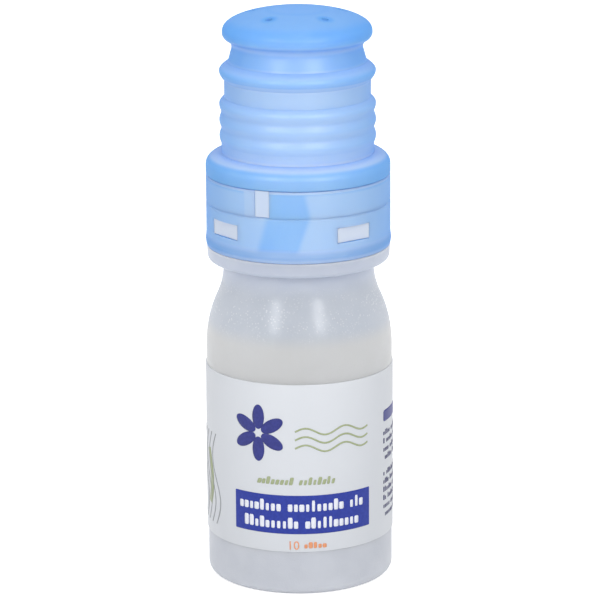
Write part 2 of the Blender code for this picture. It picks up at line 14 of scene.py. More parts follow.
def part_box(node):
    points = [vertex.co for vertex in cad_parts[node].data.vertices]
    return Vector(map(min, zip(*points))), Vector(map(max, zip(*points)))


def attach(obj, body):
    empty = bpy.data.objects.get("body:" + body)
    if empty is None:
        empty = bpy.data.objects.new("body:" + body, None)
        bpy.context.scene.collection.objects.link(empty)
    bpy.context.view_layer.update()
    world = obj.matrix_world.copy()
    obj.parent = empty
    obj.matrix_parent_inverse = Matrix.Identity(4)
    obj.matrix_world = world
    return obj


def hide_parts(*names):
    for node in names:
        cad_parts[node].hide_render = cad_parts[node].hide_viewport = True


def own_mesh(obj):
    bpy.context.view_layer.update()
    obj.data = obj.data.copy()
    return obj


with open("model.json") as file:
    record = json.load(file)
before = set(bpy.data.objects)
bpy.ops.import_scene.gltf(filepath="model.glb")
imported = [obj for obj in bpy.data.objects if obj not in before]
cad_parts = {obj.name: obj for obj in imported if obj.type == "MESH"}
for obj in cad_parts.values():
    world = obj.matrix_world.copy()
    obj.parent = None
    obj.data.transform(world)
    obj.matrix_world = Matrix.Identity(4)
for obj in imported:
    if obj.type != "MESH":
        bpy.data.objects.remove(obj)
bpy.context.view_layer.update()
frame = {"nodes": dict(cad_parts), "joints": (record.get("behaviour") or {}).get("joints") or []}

# Squeeze bottle
# Blow-moulded in one piece from natural low-density polyethylene and frosted by the mould's own grain.
# The base is pushed up, a shallow panel takes the label, and a flange and bead carry the closure.


class Wire:
    """A node's output in a material or geometry tree. Arithmetic on it adds the Math nodes."""

    def __init__(self, tree, socket=None):
        self.tree = tree
        self.socket = socket

    def node(self, kind, settings=None, out=0, **sockets):
        """Adds a node, sets it up, then fills its sockets with values or links. Returns one output."""
        made = self.tree.nodes.new(kind)
        for name, value in (settings or {}).items():
            if name == "stops":
                for stop, (place, color) in zip(made.color_ramp.elements, value):
                    stop.position = place
                    stop.color = color
            else:
                setattr(made, name, value)
        for name, value in sockets.items():
            socket = next(s for s in made.inputs if s.identifier.replace(" ", "_") == name)
            for wire in value if isinstance(value, list) else [value]:
                if isinstance(wire, Wire):
                    self.tree.links.new(wire.socket, socket)
                else:
                    socket.default_value = wire
        outputs = {s.identifier: s for s in made.outputs}
        return Wire(self.tree, outputs[out] if isinstance(out, str) else made.outputs[out])

    def math(self, operation, other=0.0, flipped=False):
        first, second = (other, self) if flipped else (self, other)
        return self.node("ShaderNodeMath", {"operation": operation}, Value=first, Value_001=second)

    def __add__(self, other):
        return self.math("ADD", other)

    __radd__ = __add__

    def __sub__(self, other):
        return self.math("SUBTRACT", other)

    def __rsub__(self, other):
        return self.math("SUBTRACT", other, flipped=True)

    def __mul__(self, other):
        return self.math("MULTIPLY", other)

    __rmul__ = __mul__

    def __truediv__(self, other):
        return self.math("DIVIDE", other)

    def rise(self, start, end):
        """0 below start and 1 above end, with a soft step between them."""
        return self.node("ShaderNodeMapRange", {"interpolation_type": "SMOOTHSTEP"}, Value=self,
                         From_Min=start, From_Max=end)

    def between(self, start, end, edge):
        """1 from start to end and 0 outside, with soft edges that wide."""
        return self.rise(start - edge, start + edge) * (1 - self.rise(end - edge, end + edge))

    def blend(self, low, high):
        """The colour low where this is 0 and high where it is 1."""
        return self.node("ShaderNodeMix", {"data_type": "RGBA"}, "Result_Color", Factor_Float=self,
                         A_Color=low, B_Color=high)

    def axes(self):
        split = self.tree.nodes.new("ShaderNodeSeparateXYZ")
        self.tree.links.new(self.socket, split.inputs[0])
        return [Wire(self.tree, socket) for socket in split.outputs]

    def noise(self, scale, detail=2.0, stretch=(1, 1, 1)):
        """Even noise round 0.5 at that many waves a metre, from object coordinates."""
        place = self.node("ShaderNodeVectorMath", {"operation": "MULTIPLY"}, Vector=self, Vector_001=stretch)
        return place.node("ShaderNodeTexNoise", Vector=place, Scale=scale, Detail=detail)


def start_material(name, **constants):
    """A new material. Returns it, its shader and the object coordinates, with the constants set."""
    material = bpy.data.materials.new(name)
    material.use_nodes = True
    shader = material.node_tree.nodes["Principled BSDF"]
    for socket, value in constants.items():
        shader.inputs[socket.replace("_", " ")].default_value = value
    place = Wire(material.node_tree).node("ShaderNodeTexCoord", out="Object")
    return material, shader, place


def link(shader, **wires):
    """Leads wires into the shader's sockets."""
    for name, wire in wires.items():
        wire.tree.links.new(wire.socket, shader.inputs[name.replace("_", " ")])


def bump(height, distance, strength=1.0):
    return height.node("ShaderNodeBump", Height=height, Distance=distance, Strength=strength)


def filleted(corners, steps=5):
    """The outline through (radius, height, fillet) corners, each rounded to its own fillet."""
    points = []
    for i, (r, z, fillet) in enumerate(corners):
        here = Vector((r, z))
        if fillet == 0:
            points.append(here)
            continue
        back = (Vector(corners[i - 1][:2]) - here).normalized()
        ahead = (Vector(corners[(i + 1) % len(corners)][:2]) - here).normalized()
        half = back.angle(ahead) / 2
        middle = here + (back + ahead).normalized() * fillet / math.sin(half)
        spoke = here + back * fillet / math.tan(half) - middle
        turn = spoke.angle_signed(here + ahead * fillet / math.tan(half) - middle)
        points += [middle + Matrix.Rotation(-turn * k / steps, 2) @ spoke for k in range(steps + 1)]
    return points


def shoulder(top, low, upper_share=0.383, steps=16):
    """Two tangent arcs from a narrow top (radius, height) down to a wide foot, upright at both ends."""
    turn = 2 * math.atan2(low[0] - top[0], top[1] - low[1])
    radius_sum = (top[1] - low[1]) / math.sin(turn)
    upper = upper_share * radius_sum
    lower = radius_sum - upper
    angles = [turn * i / steps for i in range(steps + 1)]
    points = [(top[0] + upper * (1 - math.cos(a)), top[1] - upper * math.sin(a)) for a in angles]
    return points + [(low[0] - lower * (1 - math.cos(a)), low[1] + lower * math.sin(a))
                     for a in reversed(angles[:-1])]


def corners_of(points):
    """Points of a curve, as corners without a fillet."""
    return [(r, z, 0) for r, z in points]


def as_piece(name, shape, *materials):
    """Turns a bmesh into an object with smooth faces and crisp edges."""
    mesh = bpy.data.meshes.new(name)
    shape.to_mesh(mesh)
    shape.free()
    return finished(bpy.data.objects.new(name, mesh), *materials)


def finished(piece, *materials):
    if piece.name not in bpy.context.scene.collection.objects:
        bpy.context.scene.collection.objects.link(piece)
    for material in materials:
        piece.data.materials.append(material)
    piece.data.shade_smooth()
    piece.data.set_sharp_from_angle(angle=math.radians(32))
    return piece


def turned(name, outline, material, sides=192):
    """A closed solid of revolution from (radius, height) points, open at the axis or a closed ring."""
    shape = bmesh.new()
    rim = [shape.verts.new((r, 0, z)) for r, z in outline]
    edges = [shape.edges.new(pair) for pair in zip(rim, rim[1:])]
    if outline[0][0] > 0:
        edges.append(shape.edges.new((rim[-1], rim[0])))
    bmesh.ops.spin(shape, geom=rim + edges, cent=(0, 0, 0), axis=(0, 0, 1), angle=math.tau, steps=sides,
                   use_merge=True)
    bmesh.ops.remove_doubles(shape, verts=shape.verts, dist=0.0000005)
    bmesh.ops.recalc_face_normals(shape, faces=shape.faces)
    return as_piece(name, shape, material)


bottle_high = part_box("bottle")[1]
label_low, label_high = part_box("label")
collar_low, collar_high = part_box("snap_collar")
body_r = bottle_high.x
body_wall = 0.0011
push_up = 0.0008
floor_z = push_up + 0.0013
foot_round = 0.0011
foot_inner_r = body_r - foot_round - 0.0016
push_up_r = foot_inner_r - 0.0006
panel_r = body_r - 0.00039
panel_gap = 0.00001
shoulder_z = 0.03026
neck_z = 0.04076
neck_r = 0.00956
flange_z = 0.04148
flange_top_z = collar_low.z - 0.00006
flange_r = 0.01164
flange_foot_r = flange_r - 0.00009
finish_r = 0.00908
finish_bore_r = 0.00818
bead_r = 0.00958
bead_z = collar_low.z + 0.0026
bead_edge_z = bead_z + 0.00056
bead_top_z = bead_z + 0.0014
cavity_r = body_r - body_wall
liquid_z = 0.0336


def cavity(gap, top_z):
    """The cavity's wall from top_z down to the middle of its floor, drawn in by the gap."""
    curve = shoulder((finish_bore_r - gap, neck_z), (cavity_r - gap, shoulder_z))
    wall = [(r, z) for r, z in curve if z < top_z]
    if len(wall) < len(curve):
        over = curve[-len(wall) - 1]
        share = (over[1] - top_z) / (over[1] - wall[0][1])
        wall.insert(0, (over[0] + (wall[0][0] - over[0]) * share, top_z))
    return corners_of(wall) + [(cavity_r - gap, floor_z + gap, 0.0011), (0, floor_z + gap, 0)]


bottle_outline = [(0, push_up, 0), (push_up_r, push_up, 0.0004), (foot_inner_r, 0, 0.0002)]
bottle_outline += [(body_r, 0, foot_round), (body_r, label_low.z - panel_gap, 0.00004)]
bottle_outline += [(panel_r, label_low.z - panel_gap, 0.00004), (panel_r, label_high.z + panel_gap, 0.00004)]
bottle_outline += [(body_r, label_high.z + panel_gap, 0.00004)]
bottle_outline += corners_of(reversed(shoulder((neck_r, neck_z), (body_r, shoulder_z))))
bottle_outline += [(neck_r, flange_z, 0.0005), (flange_foot_r, flange_z, 0.00064)]
bottle_outline += [(flange_r, flange_top_z, 0.00012), (finish_r, flange_top_z, 0.0002)]
bottle_outline += [(finish_r, bead_z, 0.0001), (bead_r, bead_z, 0.0001), (bead_r, bead_edge_z, 0.0002)]
bottle_outline += [(finish_r, bead_top_z, 0.0002), (finish_r, bottle_high.z, 0.00025)]
bottle_outline += [(finish_bore_r, bottle_high.z, 0.0001)]
bottle_outline += cavity(0, bottle_high.z)


def frosted_plastic():
    """Milky film-like plastic: cooler over air, warmer over the drops, mist with painted sparkle under the
    shoulder, painted blue light by the collar and a painted highlight on the flange's edge.
    """
    material, shader, place = start_material("frosted_plastic", IOR=1.46,
                                             Subsurface_Weight=0.35, Subsurface_Scale=0.0015,
                                             Subsurface_Radius=(1.0, 1.0, 1.0),
                                             Specular_IOR_Level=0.15, Coat_Roughness=0.24)
    height = place.axes()[2]
    toward = 1 - place.node("ShaderNodeLayerWeight", out="Facing", Blend=0.5)
    below = 1 - height.rise(label_low.z - 0.001, label_low.z + 0.004)
    cloud = place.noise(220, 4.0)
    over_air = (0.67, 0.715, 0.79, 1)
    over_drops = (0.775, 0.78, 0.78, 1)
    foot = (0.625, 0.65, 0.71, 1)
    collar_blue_light = (0.68, 0.74, 0.88, 1)
    flange_edge_highlight = (0.78, 0.83, 0.94, 1)
    color = (1 - height.rise(liquid_z - 0.0016, liquid_z + 0.0008)).blend(over_air, over_drops)
    color = below.blend(color, foot)
    # painted blue light: the neck and flange under the collar are tinted as if lit through the blue plastic
    color = height.rise(neck_z - 0.003, flange_z).blend(color, collar_blue_light)
    # painted highlight along the flange's top edge, lifting the shade under the collar's foot
    color = height.rise(flange_top_z - 0.0004, flange_top_z - 0.0001).blend(color, flange_edge_highlight)
    color = (cloud.rise(0.35, 0.75) * 0.2).blend(color, (0.86, 0.88, 0.92, 1))
    # condensation drops under the shoulder, drawn as pale spots: real drops with painted sparkle on them
    droplets = 1 - place.node("ShaderNodeTexVoronoi", Vector=place, Scale=2600).rise(0.15, 0.35)
    mist_and_sparkle = height.between(liquid_z, neck_z - 0.002, 0.002) * droplets
    mist_and_sparkle = mist_and_sparkle * place.noise(500, 3.0, (0.5, 0.5, 1)).rise(0.30, 0.58)
    color = (mist_and_sparkle * 0.75).blend(color, (0.95, 0.97, 1.0, 1))
    grain = place.noise(5200, 3.0) + place.noise(700, 2.0) * 1.5 + mist_and_sparkle * 0.8
    link(shader, Base_Color=color, Roughness=0.33 + cloud * 0.1, Coat_Weight=toward * toward,
         Alpha=1 - toward * (0.4 - below * 0.2), Normal=bump(grain, 0.00003))
    return material


bottle = turned("bottle_body", filleted(bottle_outline), frosted_plastic())
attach(bottle, "bottle")
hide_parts("bottle")

# Eye drop solution
# Clear watery liquid, about 11 ml, which fills the bottle to just above the label.
# Its surface climbs the wall a little, and its level shows through the frosted wall as a warmer tint.

liquid_gap = 0.00002
meniscus = 0.00025
meniscus_reach = 0.0012
liquid_wall = filleted(cavity(liquid_gap, liquid_z + meniscus))
level_r = liquid_wall[0][0]
liquid_outline = [(0, liquid_z), (level_r - meniscus_reach, liquid_z)]
liquid_outline += [(level_r - meniscus_reach / 3, liquid_z + meniscus / 3)]
liquid_outline += liquid_wall


def watery_liquid():
    material, shader, place = start_material("watery_liquid", IOR=1.335, Transmission_Weight=1.0)
    ripple = place.noise(90, 2.0)
    color = ripple.blend((0.99, 0.985, 0.96, 1), (0.985, 0.985, 0.975, 1))
    link(shader, Base_Color=color, Roughness=0.02 + ripple * 0.03)
    return material


liquid = turned("eye_drop_liquid", liquid_outline, watery_liquid(), 96)
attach(liquid, "bottle")

# Label
# White film label, wound round the shallow panel and overlapped at the back.
# Satin face with a faint tooth, and a thin step where the outer end lies over the inner one.

ink_lift = 0.00003
label_r = label_high.x - ink_lift
film_thickness = 0.00025
label_bore_r = label_high.x - film_thickness
overlap_deg = 172.0
overlap_step = 0.00006


def label_film():
    material, shader, place = start_material("label_film", IOR=1.5, Subsurface_Weight=0.2,
                                             Subsurface_Scale=0.0006, Subsurface_Radius=(1.0, 1.0, 1.0))
    fibre = place.noise(1800, 3.0, (1, 1, 0.35))
    cloud = place.noise(120, 3.0)
    color = cloud.blend((0.685, 0.71, 0.75, 1), (0.715, 0.735, 0.77, 1))
    link(shader, Base_Color=color, Roughness=0.40 + fibre * 0.14, Normal=bump(fibre, 0.000012))
    return material


label = turned("label_sleeve", filleted([(label_bore_r, label_low.z, 0), (label_r, label_low.z, 0.00005),
                                         (label_r, label_high.z, 0.00005),
                                         (label_bore_r, label_high.z, 0)], 2), label_film(), 360)
for vertex in label.data.vertices:
    angle = math.degrees(math.atan2(vertex.co.x, -vertex.co.y))
    if angle > overlap_deg:
        sunk = overlap_step * (1 - (angle - overlap_deg) / (180 - overlap_deg))
        vertex.co.xy *= 1 - sunk / label_r
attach(label, "bottle")
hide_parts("label")

# Print on the label
# Flat inks laid on the film: a dark blue panel with pale bars, a petal mark, soft waves, rows of fine
# print as plain bars, and a plain number. Each ink is drawn flat, then bent round the label.


def geometry_tree(name, **inputs):
    """A new geometry tree that takes a mesh and these named inputs. Returns it and a Wire for each."""
    tree = bpy.data.node_groups.new(name, "GeometryNodeTree")
    tree.interface.new_socket("Mesh", in_out="OUTPUT", socket_type="NodeSocketGeometry")
    for title, kind in {"Mesh": "Geometry", **inputs, "Material": "Material"}.items():
        tree.interface.new_socket(title.replace("_", " "), in_out="INPUT", socket_type="NodeSocket" + kind)
    entry = tree.nodes.new("NodeGroupInput")
    return tree, [Wire(tree, socket) for socket in entry.outputs if socket.name]


def end_tree(mesh, material):
    """Makes instances real, gives them the material and leads them out of the tree."""
    real = mesh.node("GeometryNodeRealizeInstances", Geometry=mesh)
    done = real.node("GeometryNodeSetMaterial", Geometry=real, Material=material)
    exit_node = mesh.tree.nodes.new("NodeGroupOutput")
    mesh.tree.links.new(done.socket, exit_node.inputs[0])


def evaluated_mesh(piece):
    """The piece as its modifiers leave it, as a plain mesh, with the modifiers removed."""
    made = bpy.data.meshes.new_from_object(piece.evaluated_get(bpy.context.evaluated_depsgraph_get()))
    piece.modifiers.clear()
    return made


def grow(piece, tree, **values):
    """Runs a geometry tree on the piece with its inputs set by identifier, and keeps the plain mesh."""
    modifier = piece.modifiers.new(tree.name, "NODES")
    modifier.node_group = tree
    for item in tree.interface.items_tree:
        if item.in_out == "INPUT" and item.name.replace(" ", "_") in values:
            modifier[item.identifier] = values[item.name.replace(" ", "_")]
    piece.data = evaluated_mesh(piece)
    return piece


def copies_tree():
    """Copies of the mesh at even angles round the Z axis, the first turned by First Angle."""
    tree, (mesh, count, first, material) = geometry_tree("Copies Round Axis", Count="Int",
                                                         First_Angle="Float")
    points = mesh.node("GeometryNodePoints", Count=count)
    index = mesh.node("GeometryNodeInputIndex")
    turn = mesh.node("ShaderNodeCombineXYZ", Z=first + index * math.tau / count)
    end_tree(mesh.node("GeometryNodeInstanceOnPoints", Points=points, Instance=mesh, Rotation=turn), material)
    return tree


def rows_tree():
    """Rows of bars on a base line, like fine print: the mesh is one unit bar, and gaps part the words."""
    tree, (mesh, rows, bars, word, row_pitch, bar_pitch, height, seed, material) = geometry_tree(
        "Rows Of Print", Rows="Int", Bars="Int", Word_Bars="Int", Row_Pitch="Float", Bar_Pitch="Float",
        Height="Float", Seed="Int")
    points = mesh.node("GeometryNodeMeshGrid", Size_X=bar_pitch * (bars - 1), Size_Y=row_pitch * (rows - 1),
                       Vertices_X=bars, Vertices_Y=rows)
    length = bar_pitch * mesh.node("FunctionNodeRandomValue", {"data_type": "FLOAT"}, "Value_001",
                                   Min_001=0.5, Max_001=0.88, Seed=seed)
    ascender = mesh.node("FunctionNodeRandomValue", {"data_type": "FLOAT"}, "Value_001",
                         Min_001=0.0, Max_001=1.0, Seed=seed + 1)
    tall = height * (0.66 + 0.34 * ascender.math("GREATER_THAN", 0.65))
    size = mesh.node("ShaderNodeCombineXYZ", X=length, Y=tall, Z=1.0)
    index = mesh.node("GeometryNodeInputIndex")
    column = (index / rows).math("FLOOR")
    shifted = column + index.math("MODULO", rows) * 3
    filled = shifted.math("MODULO", word).math("GREATER_THAN", 0.5)
    end_tree(mesh.node("GeometryNodeInstanceOnPoints", Points=points, Selection=filled, Instance=mesh,
                       Scale=size), material)
    return tree


def wrap_tree():
    """Flat print, x along the label and y up, cut fine, given its thickness and bent round the axis."""
    tree, (mesh, radius, thickness, cuts, material) = geometry_tree("Wrap Round Label", Radius="Float",
                                                                    Thickness="Float", Cuts="Int")
    flat = mesh.node("GeometryNodeTriangulate", Mesh=mesh)
    fine = flat.node("GeometryNodeSubdivideMesh", Level=cuts, Mesh=flat)
    face = fine.node("GeometryNodeExtrudeMesh", {"mode": "FACES"}, Mesh=fine, Offset_Scale=thickness,
                     Individual=False)
    back = fine.node("GeometryNodeFlipFaces", Mesh=fine)
    both = face.node("GeometryNodeJoinGeometry", Geometry=[face, back])
    body = both.node("GeometryNodeMergeByDistance", Geometry=both, Distance=0.0000005)
    x, y, z = body.node("GeometryNodeInputPosition").axes()
    angle = x / radius
    reach = radius + z
    bent = body.node("ShaderNodeCombineXYZ", X=reach * angle.math("SINE"),
                     Y=reach * angle.math("COSINE") * -1, Z=y)
    end_tree(body.node("GeometryNodeSetPosition", Geometry=body, Position=bent), material)
    return tree


def ink(name, color, darker):
    """Printing ink with the slight mottle of a solid area."""
    material, shader, place = start_material(name, IOR=1.5, Specular_IOR_Level=0.3)
    mottle = place.noise(2600, 3.0)
    link(shader, Base_Color=mottle.rise(0.3, 0.7).blend((*color, 1), (*darker, 1)),
         Roughness=0.34 + mottle * 0.12)
    return material


def flat_shape(name, outlines):
    """Flat faces in the XY plane, facing +Z, one for each outline."""
    shape = bmesh.new()
    for outline in outlines:
        face = shape.faces.new([shape.verts.new((x, y, 0)) for x, y in outline])
        face.normal_update()
        if face.normal.z < 0:
            face.normal_flip()
    bmesh.ops.remove_doubles(shape, verts=shape.verts, dist=0.0000001)
    return as_piece(name, shape)


def round_box(left, low, right, high, corner, steps=4):
    """Outline of a box with round corners."""
    points = []
    for x, y, start in ((right, high, 0), (left, high, 90), (left, low, 180), (right, low, 270)):
        cx = x - math.copysign(corner, x - (left + right) / 2)
        cy = y - math.copysign(corner, y - (low + high) / 2)
        for k in range(steps + 1):
            a = math.radians(start + 90 * k / steps)
            points.append((cx + corner * math.cos(a), cy + corner * math.sin(a)))
    return points


def strip(points, width):
    """Quads of a ribbon that wide along the points."""
    sides = []
    for before, here, after in zip([points[0], *points], points, [*points[1:], points[-1]]):
        across = (Vector(after) - Vector(before)).orthogonal().normalized() * width / 2
        sides.append((Vector(here) + across, Vector(here) - across))
    return [(a[0], b[0], b[1], a[1]) for a, b in zip(sides, sides[1:])]


def wave(left, right, height, swing, length, steps=60):
    """Points of a gentle wave from left to right."""
    xs = [left + (right - left) * i / steps for i in range(steps + 1)]
    return [(x, height + swing * math.sin(math.tau * (x - left) / length)) for x in xs]


copies_round = copies_tree()
rows_of_print = rows_tree()
wrap_round = wrap_tree()
blue_ink = ink("blue_ink", (0.018, 0.036, 0.29), (0.024, 0.046, 0.34))
navy_ink = ink("navy_ink", (0.030, 0.036, 0.20), (0.038, 0.045, 0.24))
white_ink = ink("white_ink", (0.84, 0.86, 0.93), (0.80, 0.82, 0.90))
olive_ink = ink("olive_ink", (0.35, 0.40, 0.22), (0.40, 0.45, 0.27))
dark_ink = ink("dark_ink", (0.075, 0.078, 0.16), (0.10, 0.105, 0.20))
grey_ink = ink("grey_ink", (0.30, 0.31, 0.33), (0.36, 0.37, 0.39))
orange_ink = ink("orange_ink", (0.78, 0.30, 0.14), (0.82, 0.36, 0.19))


def printed(piece, material, thickness, cuts):
    """Bends a flat drawing round the label in that ink and lets it ride on the bottle."""
    grow(piece, wrap_round, Radius=label_r - ink_lift / 4, Thickness=thickness + ink_lift / 4, Cuts=cuts,
         Material=material)
    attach(piece, "bottle")
    return piece


def fine_print(name, middle, rows, bars, word, row_pitch, bar_pitch, height, seed, material, lean=0.0):
    """A block of bars like lines of print, with its middle at that place on the label."""
    bar = flat_shape(name, [[(x + lean * y, y) for x, y in round_box(-0.5, 0, 0.5, 1, 0.15, 1)]])
    grow(bar, rows_of_print, Rows=rows, Bars=bars, Word_Bars=word, Row_Pitch=row_pitch,
         Bar_Pitch=bar_pitch, Height=height, Seed=seed, Material=material)
    bar.data.transform(Matrix.Translation((middle[0], middle[1] - height / 2, 0)))
    return printed(bar, material, ink_lift, 1)


printed(flat_shape("print_panel", [round_box(-0.00897, 0.0083, 0.0098, 0.0134, 0.00012)]), blue_ink,
        ink_lift / 2, 5)
fine_print("print_panel_bars", (0.0002, 0.01088), 2, 23, 11, 0.00225, 0.00074, 0.00145, 3, white_ink)
fine_print("print_olive_bars", (-0.0006, 0.01530), 1, 19, 9, 0.001, 0.00060, 0.0010, 5, olive_ink, 0.45)
petal_reach = 0.0021
petal_half_length = 0.0016
petal_half_width = 0.00082
petal_turns = [math.tau * i / 40 for i in range(40)]
petal = flat_shape("print_petals", [[(petal_reach + petal_half_length * math.cos(turn),
                                      petal_half_width * math.sin(turn)) for turn in petal_turns]])
grow(petal, copies_round, Count=6, First_Angle=math.radians(30), Material=navy_ink)
petal.data.transform(Matrix.Translation((-0.0054, 0.0214, 0)))
printed(petal, navy_ink, ink_lift, 2)
waves = [strip(wave(-0.0006, 0.0095, 0.0196 + 0.0011 * i, 0.00045, 0.0052), 0.00022) for i in range(3)]
printed(flat_shape("print_waves", sum(waves, [])), olive_ink, ink_lift, 1)

number = bpy.data.curves.new("print_number", "FONT")
number.body = "10"
number.size = 0.0016
number.align_x = "CENTER"
number_flat = bpy.data.objects.new("number_flat", number)
number_mesh = bpy.data.meshes.new_from_object(number_flat)
bpy.data.objects.remove(number_flat)
number_mesh.transform(Matrix.Translation((-0.0009, 0.00625, 0)))
number_piece = bpy.data.objects.new("print_number", number_mesh)
printed(finished(number_piece), orange_ink, ink_lift, 2)

fine_print("print_orange_bars", (0.0016, 0.00680), 1, 6, 9, 0.001, 0.00060, 0.0008, 8, orange_ink)

ribbon_lines = []
for i in range(5):
    line = wave(0.0076, 0.0196, -0.0132 - 0.0013 * i, 0.0011, 0.012)
    ribbon_lines += strip([(y, x) for x, y in line], 0.00018)
printed(flat_shape("print_ribbons", ribbon_lines), grey_ink, ink_lift, 1)
ribbon_fill = strip([(y, x) for x, y in wave(0.0100, 0.0172, -0.0152, 0.0007, 0.012)], 0.0011)
printed(flat_shape("print_ribbon_fill", ribbon_fill), olive_ink, ink_lift * 0.7, 1)
printed(flat_shape("print_side_block", [round_box(0.0131, 0.0211, 0.0181, 0.0226, 0.0003)]), navy_ink,
        ink_lift, 3)
fine_print("print_rows_right", (0.0190, 0.0180), 4, 26, 7, 0.0011, 0.00046, 0.0007, 11, dark_ink)
fine_print("print_rows_low_right", (0.0190, 0.0115), 6, 26, 8, 0.0011, 0.00046, 0.0007, 12, dark_ink)
fine_print("print_rows_back", (-0.0300, 0.0170), 13, 26, 6, 0.0012, 0.00046, 0.0007, 13, dark_ink)

# Inside the dropper
# Neck seal, air filter between its carrier and clamp ring, and the plate under the spring.
# Small moulded and punched parts, pushed into the housing from below before it goes into the neck.


def white_plastic(name, blue_light_share=None):
    """Satin white polypropylene with faint flow marks, with painted blue light where blue_light_share(place)
    nears 1.
    """
    material, shader, place = start_material(name, IOR=1.49, Subsurface_Weight=0.25,
                                             Subsurface_Scale=0.0008, Subsurface_Radius=(1.0, 1.0, 1.0))
    flow = place.noise(420, 3.0, (1, 1, 0.3))
    grain = place.noise(6000, 2.0)
    color = flow.blend((0.80, 0.81, 0.84, 1), (0.86, 0.87, 0.89, 1))
    if blue_light_share:
        # painted blue light, as if lit through the blue plastic in front
        color = blue_light_share(place).blend(color, (0.56, 0.66, 0.83, 1))
    link(shader, Base_Color=color, Roughness=0.36 + flow * 0.14, Normal=bump(grain, 0.000008))
    return material


def soft_rubber():
    """Soft silicone, matt and slightly grey."""
    material, shader, place = start_material("soft_rubber", IOR=1.41, Subsurface_Weight=0.3,
                                             Subsurface_Scale=0.001, Subsurface_Radius=(1.0, 1.0, 1.0))
    cloud = place.noise(500, 3.0)
    grain = place.noise(9000, 2.0)
    link(shader, Base_Color=cloud.blend((0.74, 0.75, 0.77, 1), (0.82, 0.83, 0.84, 1)),
         Roughness=0.55 + cloud * 0.15, Normal=bump(grain, 0.000006))
    return material


def filter_membrane():
    """Matt porous membrane with a fibrous tooth."""
    material, shader, place = start_material("filter_membrane", IOR=1.4)
    fibre = place.noise(4200, 5.0)
    link(shader, Base_Color=fibre.blend((0.82, 0.82, 0.79, 1), (0.93, 0.93, 0.91, 1)),
         Roughness=0.8 + fibre * 0.12, Normal=bump(fibre, 0.00003))
    return material


def dress(node, material):
    """Gives a CAD node that stays in view its finish."""
    mesh = frame["nodes"][node].data
    if mesh.materials:
        mesh.materials[0] = material
    else:
        mesh.materials.append(material)


white = white_plastic("white_plastic")
rubber = soft_rubber()
for node in ("filter_carrier", "filter_clamp_ring", "spring_seat"):
    dress(node, white)
dress("neck_seal", rubber)
dress("vent_filter", filter_membrane())

# Valve
# A white pin with a soft button closes the orifice from inside, pushed up by a small steel coil.
# The coil sits on the plate below. The real coil shortens by the pin's travel when a drop is pressed out;
# here it keeps its rest length.

travel = next(joint for joint in frame["joints"] if joint["name"] == "valve_travel")["range_m"][1]
spring_low, spring_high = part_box("valve_spring")
wire_r = 0.00015
coil_r = spring_high.x - wire_r
coil_height = spring_high.z - spring_low.z - 2 * wire_r
coil_turns = 3.5


def coil_tree():
    """A round wire along a spiral, closed at both ends."""
    tree, (mesh, turns, radius, height, wire, material) = geometry_tree(
        "Spring Coil", Turns="Float", Radius="Float", Height="Float", Wire="Float")
    path = mesh.node("GeometryNodeCurveSpiral", Resolution=48, Rotations=turns, Start_Radius=radius,
                     End_Radius=radius, Height=height)
    section = mesh.node("GeometryNodeCurvePrimitiveCircle", Resolution=12, Radius=wire)
    round_wire = path.node("GeometryNodeCurveToMesh", Curve=path, Profile_Curve=section, Fill_Caps=True)
    end_tree(round_wire, material)
    return tree


def spring_steel():
    """Drawn stainless wire with fine lines along it."""
    material, shader, place = start_material("spring_steel", Metallic=1.0)
    lines = place.noise(9000, 2.0, (0.2, 0.2, 1))
    link(shader, Base_Color=lines.blend((0.52, 0.53, 0.55, 1), (0.66, 0.67, 0.69, 1)),
         Roughness=0.2 + lines * 0.15)
    return material


spring = finished(bpy.data.objects.new("spring_coil", bpy.data.meshes.new("spring_coil")))
grow(spring, coil_tree(), Turns=coil_turns, Radius=coil_r, Height=coil_height, Wire=wire_r,
     Material=spring_steel())
spring.data.transform(Matrix.Translation((0, 0, spring_low.z + wire_r)))
finished(spring)
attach(spring, "bottle")
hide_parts("valve_spring")
1 - travel / (spring_high.z - spring_low.z)
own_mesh(spring)
dress("valve_pin", white)
dress("tip_seal", rubber)

# Dropper housing and nozzle tip
# White moulded drum that plugs the neck and stands up inside the cap, with the tip held under its top.
# Both show through the blue barrel as a pale core.

housing_low, housing_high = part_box("nozzle_housing")
housing_r = 0.00788
housing_bore_r = 0.00698
housing_flange_z = 0.0507
housing_flange_top_z = housing_flange_z + 0.0008
housing_ceiling_z = housing_high.z - 0.0009
tip_low, tip_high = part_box("nozzle_tip")
tip_flange_top_z = tip_low.z + 0.0008
stem_r = 0.00245
stem_top_z = housing_high.z + 0.0015
cone_z = housing_high.z + 0.0043
tip_hole_r = stem_r + 0.0003
tip_end_r = 0.0019
tip_mouth_r = tip_end_r - 0.0001
orifice_r = 0.0003
chamber_r = 0.00195
guide_r = 0.00105
guide_top_z = tip_high.z - 0.0007
guide_z = guide_top_z - 0.0023

housing = turned("housing_drum", filleted([
    (housing_bore_r, housing_low.z, 0.0001), (housing_r, housing_low.z, 0.0003),
    (housing_r, housing_flange_z, 0.0001), (housing_high.x, housing_flange_z, 0.0001),
    (housing_high.x, housing_flange_top_z, 0.0002), (housing_r, housing_flange_top_z, 0.0003),
    (housing_r, housing_high.z, 0.0006), (tip_hole_r, housing_high.z, 0.0001),
    (tip_hole_r, housing_ceiling_z, 0.0001), (housing_bore_r, housing_ceiling_z, 0.0003),
]), white)
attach(housing, "bottle")
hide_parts("nozzle_housing")

